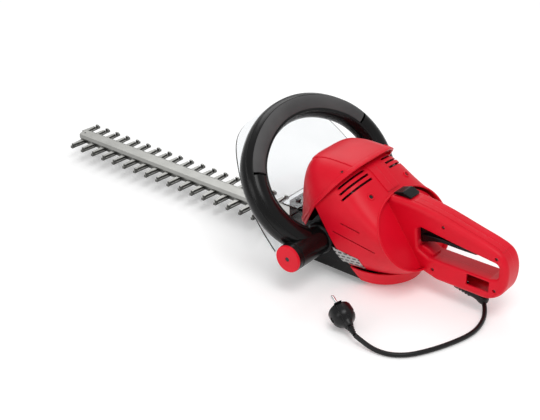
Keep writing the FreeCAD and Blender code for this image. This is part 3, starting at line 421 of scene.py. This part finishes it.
def raised_field(name, node, cuts, keep, height, rounding):
    """A raised field on a shell: part of the shell's outer skin, cut out and given its own thickness."""
    bpy.ops.object.select_all(action="DESELECT")
    field = bpy.data.objects.new(name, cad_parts[node].data.copy())
    bpy.context.collection.objects.link(field)
    bpy.context.view_layer.objects.active = field
    field.select_set(True)
    bpy.ops.object.mode_set(mode="EDIT")
    bpy.ops.mesh.select_mode(type="FACE")
    bpy.ops.mesh.select_all(action="SELECT")
    bpy.ops.mesh.remove_doubles(threshold=0.00001)
    for spot, way in cuts:
        bpy.ops.mesh.select_all(action="SELECT")
        bpy.ops.mesh.bisect(plane_co=spot, plane_no=way, clear_outer=True)
    bpy.ops.mesh.select_all(action="DESELECT")
    bpy.ops.object.mode_set(mode="OBJECT")
    for face in field.data.polygons:
        face.select = not keep(face)
    bpy.ops.object.mode_set(mode="EDIT")
    bpy.ops.mesh.delete(type="FACE")
    bpy.ops.object.mode_set(mode="OBJECT")
    bpy.ops.object.modifier_add(type="SOLIDIFY")
    field.modifiers["Solidify"].thickness = height
    field.modifiers["Solidify"].offset = 1.0
    bpy.ops.object.modifier_apply(modifier="Solidify")
    bpy.ops.object.modifier_add(type="BEVEL")
    field.modifiers["Bevel"].width = rounding
    field.modifiers["Bevel"].segments = 2
    field.modifiers["Bevel"].angle_limit = math.radians(50.0)
    bpy.ops.object.modifier_apply(modifier="Bevel")
    bpy.ops.object.shade_smooth_by_angle(angle=math.radians(35.0))
    return field


MOTOR_X = 0.030
MOTOR_Z = 0.083


def outer_skin(face):
    """True on a shell's outside, where faces look away from the motor's middle."""
    out = (face.center - Vector((MOTOR_X, face.center.y * 0.3, MOTOR_Z))).normalized()
    return face.normal.dot(out) > 0.45


def grip_top(face):
    return face.normal.z > 0.55 and face.center.z > 0.0995


def fit_red(piece):
    """A red piece moulded in one with the housing."""
    give(piece, red_plastic)
    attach(piece, "housing")


LIP_TOP = Vector((0.030, 0.0, 0.158))            # top of the hood's rear edge
LIP_AHEAD = Vector((0.8039, 0.0, 0.5948))        # square to that edge, towards the hood
ACROSS = Vector((0.0, 1.0, 0.0))
AHEAD = Vector((1.0, 0.0, 0.0))
UP = Vector((0.0, 0.0, 1.0))
LIP_WIDE = 0.006
PANEL_HALF = 0.040
SPINE_HALF = 0.014
STRIP_HALF = 0.0105
FIELD_LOW = UP * 0.120
PANEL_FRONT = AHEAD * 0.100
SPINE_REAR = AHEAD * -0.011
GRIP_FRONT = AHEAD * -0.050
GRIP_REAR = AHEAD * -0.190

hood_panel = raised_field("hood_panel", "hood_cover", [
    (ACROSS * PANEL_HALF, ACROSS), (ACROSS * -PANEL_HALF, -ACROSS),
    (LIP_TOP + LIP_AHEAD * LIP_WIDE, -LIP_AHEAD), (PANEL_FRONT, AHEAD), (FIELD_LOW, -UP),
], outer_skin, height=0.0009, rounding=0.0004)
fit_red(hood_panel)
hood_lip = raised_field("hood_lip", "hood_cover", [
    (LIP_TOP + LIP_AHEAD * 0.0002, -LIP_AHEAD), (LIP_TOP + LIP_AHEAD * (LIP_WIDE + 0.0002), LIP_AHEAD),
], outer_skin, height=0.0011, rounding=0.0004)
fit_red(hood_lip)
for side, way in (("left", ACROSS), ("right", -ACROSS)):
    casing_spine = raised_field("casing_spine_" + side, "motor_casing_" + side, [
        (way * SPINE_HALF, way), (LIP_TOP + LIP_AHEAD * 0.001, LIP_AHEAD), (SPINE_REAR, -AHEAD),
        (FIELD_LOW, -UP),
    ], outer_skin, height=0.0013, rounding=0.0005)
    fit_red(casing_spine)
    grip_top_strip = raised_field("grip_top_" + side, "rear_handle_" + side, [
        (way * STRIP_HALF, way), (GRIP_FRONT, AHEAD), (GRIP_REAR, -AHEAD),
    ], grip_top, height=0.0006, rounding=0.0003)
    fit_red(grip_top_strip)

# ---------------------------------------------------------------- flange rim
# The rear handle closes the casing with an oval flange that leans forward. Its rounded rim is
# moulded in one with the casing's rear edge and stands proud all round.

RIM_X = -0.0487
RIM_Z = 0.0832
RIM_LEAN = math.radians(36.0)
RIM_HALF_WIDE = 0.0768
RIM_HALF_HIGH = 0.0563
RIM_SQUARENESS = 2.15
RIM_THICK = 0.0015


def boxy(part, half):
    """One coordinate of a slightly squared oval, from that of a round one."""
    return half * math.copysign(abs(part) ** (2.0 / RIM_SQUARENESS), part)


def round_bar(thick, resolution, capped):
    """Turns the active line of bare edges into a round bar."""
    bpy.ops.object.convert(target="CURVE")
    piece = bpy.context.object
    piece.data.bevel_depth = thick
    piece.data.bevel_resolution = resolution
    piece.data.use_fill_caps = capped
    bpy.ops.object.convert(target="MESH")
    bpy.ops.object.transform_apply(location=True, rotation=True, scale=True)
    bpy.ops.object.shade_smooth_by_angle(angle=math.radians(60.0))
    return bpy.context.object


bpy.ops.object.select_all(action="DESELECT")
bpy.ops.mesh.primitive_circle_add(vertices=120, radius=1.0)
flange_rim = bpy.context.object
flange_rim.name = "flange_rim"
for corner in flange_rim.data.vertices:
    across = boxy(corner.co.x, RIM_HALF_WIDE)
    rise = boxy(corner.co.y, RIM_HALF_HIGH)
    corner.co = (RIM_X + rise * math.sin(RIM_LEAN), across, RIM_Z + rise * math.cos(RIM_LEAN))
flange_rim = round_bar(RIM_THICK, resolution=4, capped=False)
fit_red(flange_rim)

# ---------------------------------------------------------------- screw bosses
# The shells are screwed together through round bosses with a sunk middle, one on the hood's flank and
# a larger one in the casing's shoulder. The screws sit deep; their near-black red colour is painted
# shade.

BOSSES = [
    # name, place on the left side, way out, size
    ("hood_boss", (0.0392, 0.0537, 0.1619), (-0.03, 0.48, 0.88), 0.75),
    ("casing_boss", (-0.0029, 0.0436, 0.1335), (-0.56, 0.22, 0.80), 1.25),
]
BOSS_RING = [(4.4, -1.0), (4.2, 0.8), (3.7, 1.4), (3.0, 1.4), (2.6, 0.9), (2.4, 0.1)]
BOSS_SCREW = [(2.2, -0.6), (2.2, 0.20), (1.2, 0.25), (0.9, 0.12)]


def scaled(profile, share):
    return [(radius * share, at * share) for radius, at in profile]


for name, (x, y, z), (way_x, way_y, way_z), share in BOSSES:
    for ending, side in (("", 1.0), ("_right", -1.0)):
        spot = Vector((x, side * y, z))
        way = Vector((way_x, side * way_y, way_z)).normalized()
        ring = turned_piece(name + ending, spot, way, scaled(BOSS_RING, share), sides=32)
        fit_red(ring)
        screw = turned_piece(name + ending + "_screw", spot, way, scaled(BOSS_SCREW, share), sides=24)
        # The screw's near-black red colour is painted shade of the boss's sunk middle.
        give(screw, moulded_finish(
            name + ending + "_painted_shade", colour=(0.010, 0.006, 0.006), shade=(0.006, 0.004, 0.004),
            painted_edge_highlight=(0.02, 0.01, 0.01), roughness=0.5, grain=900.0, depth=0.0001))
        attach(screw, "housing")

# ---------------------------------------------------------------- finger lug
# A rounded lump of the rear handle's own red plastic at the front of the hand opening. It lies
# under the trigger's deep end and keeps the fingers from being caught there.


def drawn_bar(name, stations, rounding):
    """A bar drawn out section by section: (x, z, half width, half height) in millimetres."""
    bpy.ops.object.select_all(action="DESELECT")
    x, z, wide, high = stations[0]
    spot = Vector((x, 0.0, z)) / MM_IN_METRE
    bpy.ops.mesh.primitive_plane_add(size=2.0, location=spot, rotation=(0.0, math.radians(90.0), 0.0))
    bar = bpy.context.object
    bar.name = name
    bpy.ops.object.mode_set(mode="EDIT")
    bpy.ops.mesh.select_all(action="SELECT")
    bpy.ops.transform.resize(value=(1.0, wide / MM_IN_METRE, high / MM_IN_METRE), center_override=spot)
    for next_x, next_z, next_wide, next_high in stations[1:]:
        step = Vector((next_x - x, 0.0, next_z - z)) / MM_IN_METRE
        spot = spot + step
        bpy.ops.mesh.extrude_region_move(TRANSFORM_OT_translate={"value": step})
        bpy.ops.transform.resize(value=(1.0, next_wide / wide, next_high / high), center_override=spot)
        x, z, wide, high = next_x, next_z, next_wide, next_high
    bpy.ops.mesh.select_all(action="SELECT")
    bpy.ops.mesh.normals_make_consistent(inside=False)
    bpy.ops.object.mode_set(mode="OBJECT")
    bpy.ops.object.transform_apply(location=True, rotation=True, scale=True)
    bpy.ops.object.modifier_add(type="BEVEL")
    bar.modifiers["Bevel"].width = rounding
    bar.modifiers["Bevel"].segments = 3
    bar.modifiers["Bevel"].angle_limit = math.radians(40.0)
    bpy.ops.object.modifier_apply(modifier="Bevel")
    bpy.ops.object.shade_smooth_by_angle(angle=math.radians(35.0))
    return bar


finger_lug = drawn_bar("finger_lug", [
    (-65.5, 61.0, 11.0, 5.0), (-69.0, 62.5, 12.0, 5.5), (-76.0, 61.5, 12.0, 5.0),
    (-84.0, 59.0, 11.0, 3.5), (-88.0, 57.5, 9.5, 2.0),
], rounding=0.0022)
fit_red(finger_lug)

# ---------------------------------------------------------------- black mouldings
# Gear housing, its lower cover, the loop handle, the hubs, the trigger and the catch are moulded in
# black glass-filled plastic, which has a faint grain and catches a soft grey light along its edges.

black_plastic = moulded_finish(
    "black_plastic", colour=(0.0045, 0.0045, 0.005), shade=(0.003, 0.003, 0.003), painted_edge_highlight=(0.05, 0.05, 0.05),
    roughness=0.24, grain=800.0, depth=0.00010, shine=0.22)
finish_nodes(black_plastic, "gear_case_upper", "gear_case_lower_cover", "loop_front_half",
             "loop_rear_half", "loop_trim_left", "loop_trim_right", "side_hub_left", "side_hub_right",
             "trigger", "lock_button")

# ---------------------------------------------------------------- trigger pad
# The part of the trigger under the fingers is wider than its stem, deep at the front and thin towards
# the pivot. It is moulded in one with the stem and turns with it.

trigger_pad = drawn_bar("trigger_pad", [
    (-67.5, 79.5, 12.0, 5.2), (-70.0, 79.3, 13.2, 6.0), (-77.0, 82.0, 13.5, 4.8),
    (-88.0, 84.4, 13.5, 3.8), (-100.0, 86.0, 13.5, 3.0), (-125.0, 85.0, 13.0, 2.5),
    (-150.0, 84.6, 12.0, 2.0), (-155.0, 84.6, 10.5, 1.4),
], rounding=0.0012)
give(trigger_pad, black_plastic)
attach(trigger_pad, "trigger")

# ---------------------------------------------------------------- front switch strip
# The matt grey strip let into the loop's rear face is the front hand's switch. It is a softer
# plastic with a rough skin, so that a gloved hand doesn't slip.

grip_strip = moulded_finish(
    "grip_strip", colour=(0.075, 0.073, 0.074), shade=(0.050, 0.049, 0.050), painted_edge_highlight=(0.13, 0.13, 0.13),
    roughness=0.62, grain=1300.0, depth=0.0003)
finish_nodes(grip_strip, "front_switch_strip")

# ---------------------------------------------------------------- loop beads
# A rounded bead runs on either side of the switch strip, and a thinner lip along the loop's outer
# edge. They are moulded in one with the loop, and run from one hub to the other.

LOOP_LEAN = math.radians(40.5)
HUB_PLACE = Vector((0.061, 0.0, 0.058))
LOOP_MIDDLE = 0.078               # from the hubs' axis up to the middle of the oval
SIDE_RADIUS = 0.086
SIDE_CENTRE = 0.046
TOP_RADIUS = 0.15674
TOP_CENTRE = -0.05374
JOIN_ANGLE = math.degrees(math.atan2(-TOP_CENTRE, SIDE_CENTRE))
LOW_ANGLE = -50.0                # degrees round the side arc, at the hubs
SIDE_STEPS = 36
TOP_STEPS = 15


def loop_spot(across, up, ahead):
    """A point in the loop's own leaning plane, placed in the tool's frame."""
    s, c = math.sin(LOOP_LEAN), math.cos(LOOP_LEAN)
    up = up + LOOP_MIDDLE
    return HUB_PLACE + Vector((s * up + c * ahead, across, c * up - s * ahead))


def loop_line(outward):
    """The loop's middle line as (across, up), moved outward: a side arc, the top arc, a side arc."""
    half = []
    reach = SIDE_RADIUS + outward
    for step in range(SIDE_STEPS + 1):
        angle = math.radians(LOW_ANGLE + (JOIN_ANGLE - LOW_ANGLE) * step / SIDE_STEPS)
        half.append((SIDE_CENTRE + reach * math.cos(angle), reach * math.sin(angle)))
    reach = TOP_RADIUS + outward
    for step in range(1, TOP_STEPS + 1):
        angle = math.radians(JOIN_ANGLE + (90.0 - JOIN_ANGLE) * step / TOP_STEPS)
        half.append((reach * math.cos(angle), TOP_CENTRE + reach * math.sin(angle)))
    return half + [(-across, up) for across, up in reversed(half[:-1])]


def loop_bead(name, outward, behind, thick):
    """A round bar along the loop, so far outward from its middle line and behind its plane."""
    line = loop_line(outward)
    bpy.ops.object.select_all(action="DESELECT")
    bpy.ops.mesh.primitive_circle_add(vertices=len(line), radius=0.1)
    bead = bpy.context.object
    bead.name = name
    for corner, (across, up) in zip(bead.data.vertices, line):
        corner.co = loop_spot(across, up, -behind)
    bpy.ops.object.mode_set(mode="EDIT")
    bpy.ops.mesh.select_mode(type="EDGE")
    bpy.ops.mesh.select_all(action="DESELECT")
    bpy.ops.object.mode_set(mode="OBJECT")
    ends = {0, len(line) - 1}
    for edge in bead.data.edges:
        edge.select = set(edge.vertices) == ends
    bpy.ops.object.mode_set(mode="EDIT")
    bpy.ops.mesh.delete(type="EDGE_FACE")
    bpy.ops.object.mode_set(mode="OBJECT")
    bead = round_bar(thick, resolution=3, capped=True)
    give(bead, black_plastic)
    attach(bead, "housing")


loop_bead("loop_bead_outer", outward=0.0121, behind=0.0111, thick=0.0015)
loop_bead("loop_bead_inner", outward=-0.0128, behind=0.0122, thick=0.0019)
loop_bead("loop_lip_outer", outward=0.0160, behind=0.0066, thick=0.0013)

# ---------------------------------------------------------------- clear guard
# A sheet of clear plastic ahead of the loop, which keeps cuttings off the hands. Its flat foot lies
# on the gear housing's nose and is held there by two screws.

clear_plastic = bpy.data.materials.new("clear_plastic")
clear_plastic.use_nodes = True
clear_nodes = clear_plastic.node_tree.nodes
clear_link = clear_plastic.node_tree.links.new
clear_skin = clear_nodes["Principled BSDF"]
clear_skin.inputs["Transmission Weight"].default_value = 1.0
clear_skin.inputs["IOR"].default_value = 1.25
clear_place = clear_nodes.new("ShaderNodeTexCoord")
clear_haze = clear_nodes.new("ShaderNodeTexNoise")
clear_haze.inputs["Scale"].default_value = 30.0
clear_link(clear_place.outputs["Object"], clear_haze.inputs["Vector"])
clear_tint = clear_nodes.new("ShaderNodeValToRGB")
clear_tint.color_ramp.elements[0].color = (0.86, 0.88, 0.89, 1.0)
clear_tint.color_ramp.elements[1].color = (0.92, 0.93, 0.94, 1.0)
clear_link(clear_haze.outputs["Fac"], clear_tint.inputs["Fac"])
clear_link(clear_tint.outputs["Color"], clear_skin.inputs["Base Color"])
clear_gloss = clear_nodes.new("ShaderNodeMapRange")
clear_gloss.inputs["To Min"].default_value = 0.02
clear_gloss.inputs["To Max"].default_value = 0.09
clear_link(clear_haze.outputs["Fac"], clear_gloss.inputs["Value"])
clear_link(clear_gloss.outputs["Result"], clear_skin.inputs["Roughness"])
clear_bump = clear_nodes.new("ShaderNodeBump")
clear_bump.inputs["Strength"].default_value = 0.15
clear_bump.inputs["Distance"].default_value = 0.0003
clear_link(clear_haze.outputs["Fac"], clear_bump.inputs["Height"])
clear_link(clear_bump.outputs["Normal"], clear_skin.inputs["Normal"])
finish_nodes(clear_plastic, "clear_guard")

# ---------------------------------------------------------------- blades, rail and their bolts
# The comb and the cutter are punched from spring steel and ground along their teeth. The rail over
# them is a brighter ground bar with chamfered edges. Bolts are zinc plated, the caps' screws blued.

# Their upright faces are painted darker as shade, the comb's and the cutter's most, the rail's less.
dark_steel = metal_finish(
    "dark_steel", colour=(0.42, 0.42, 0.40), roughness=0.36, lines=900.0, along=(1.0, 0.05, 1.0),
    depth=0.00008, patch=0.8, side_shade=0.3)
ground_steel = metal_finish(
    "ground_steel", colour=(0.44, 0.44, 0.42), roughness=0.40, lines=1200.0, along=(0.03, 1.0, 1.0),
    depth=0.00008, patch=0.88, side_shade=0.55)
zinc_screw = metal_finish(
    "zinc_screw", colour=(0.30, 0.31, 0.32), roughness=0.35, lines=500.0, along=EVEN, depth=0.00005)
blued_steel = metal_finish(
    "blued_steel", colour=(0.05, 0.05, 0.055), roughness=0.4, lines=500.0, along=EVEN, depth=0.00005)
finish_nodes(dark_steel, "guard_comb", "cutter_blade")
finish_nodes(ground_steel, "blade_rail")
finish_nodes(zinc_screw, "rail_bolts", "guard_screws", "handle_screws", "trigger_pin")
finish_nodes(blued_steel, "cap_screws")

# ---------------------------------------------------------------- gears, shafts and bearings
# Hobbed and turned steel, oiled and darker than the blades. The gears and the crank are in the gear
# housing, the shafts run in ball bearings, and the rail's spacers and the bearing bridge are bare.

gear_steel = metal_finish(
    "gear_steel", colour=(0.42, 0.42, 0.43), roughness=0.32, lines=800.0, along=(1.0, 1.0, 0.1),
    depth=0.00005)
finish_nodes(gear_steel, "rail_spacers", "drive_gear", "crank_pin", "gear_shaft", "gear_shaft_bearing",
             "motor_lower_bearing", "motor_upper_bearing", "motor_shaft", "motor_pinion",
             "bearing_bridge")

# ---------------------------------------------------------------- motor
# A universal motor: stacked steel sheets, varnished copper coils, a copper commutator and a moulded
# fan under it. Only glimpses show through the air slots. The brushes and the grip's switch are here.

laminations = metal_finish(
    "laminations", colour=(0.20, 0.20, 0.21), roughness=0.45, lines=700.0, along=(0.05, 0.05, 8.0),
    depth=0.0003)
copper = metal_finish(
    "copper", colour=(0.62, 0.24, 0.12), roughness=0.32, lines=400.0, along=(1.0, 1.0, 3.0), depth=0.0003)
fan_plastic = moulded_finish(
    "fan_plastic", colour=(0.035, 0.035, 0.037), shade=(0.026, 0.026, 0.028), painted_edge_highlight=(0.12, 0.12, 0.12),
    roughness=0.5, grain=600.0, depth=0.0001)
switch_plastic = moulded_finish(
    "switch_plastic", colour=(0.05, 0.05, 0.055), shade=(0.035, 0.035, 0.04), painted_edge_highlight=(0.15, 0.15, 0.15),
    roughness=0.5, grain=600.0, depth=0.0001)
finish_nodes(laminations, "motor_stator", "motor_armature")
finish_nodes(copper, "field_coils", "commutator")
finish_nodes(fan_plastic, "cooling_fan")
finish_nodes(switch_plastic, "brush_holders", "switch_module")

# ---------------------------------------------------------------- rating label
# A thin silver plate, stuck low on the casing's left side. In place of words it is printed with
# rows of plain dark blocks.

PLATE_COLOUR = (0.50, 0.50, 0.49)
label_metal = metal_finish(
    "label_metal", colour=PLATE_COLOUR, roughness=0.42, lines=900.0, along=(0.1, 1.0, 1.0), depth=0.00003,
    patch=0.85)
label_nodes = label_metal.node_tree.nodes
label_link = label_metal.node_tree.links.new
label_place = label_nodes.new("ShaderNodeTexCoord")
label_turn = label_nodes.new("ShaderNodeMapping")
label_turn.inputs["Rotation"].default_value = (math.radians(90.0), 0.0, math.radians(-7.0))
label_link(label_place.outputs["Object"], label_turn.inputs["Vector"])
print_blocks = label_nodes.new("ShaderNodeTexBrick")
print_blocks.inputs["Scale"].default_value = 100.0
print_blocks.inputs["Mortar Size"].default_value = 0.16
print_blocks.inputs["Brick Width"].default_value = 0.9
print_blocks.inputs["Row Height"].default_value = 0.55
print_blocks.inputs["Color1"].default_value = (0.05, 0.05, 0.05, 1.0)
print_blocks.inputs["Color2"].default_value = (0.14, 0.14, 0.14, 1.0)
print_blocks.inputs["Mortar"].default_value = (*PLATE_COLOUR, 1.0)
label_link(label_turn.outputs["Vector"], print_blocks.inputs["Vector"])
label_link(print_blocks.outputs["Color"], label_nodes["Principled BSDF"].inputs["Base Color"])
finish_nodes(label_metal, "side_label")
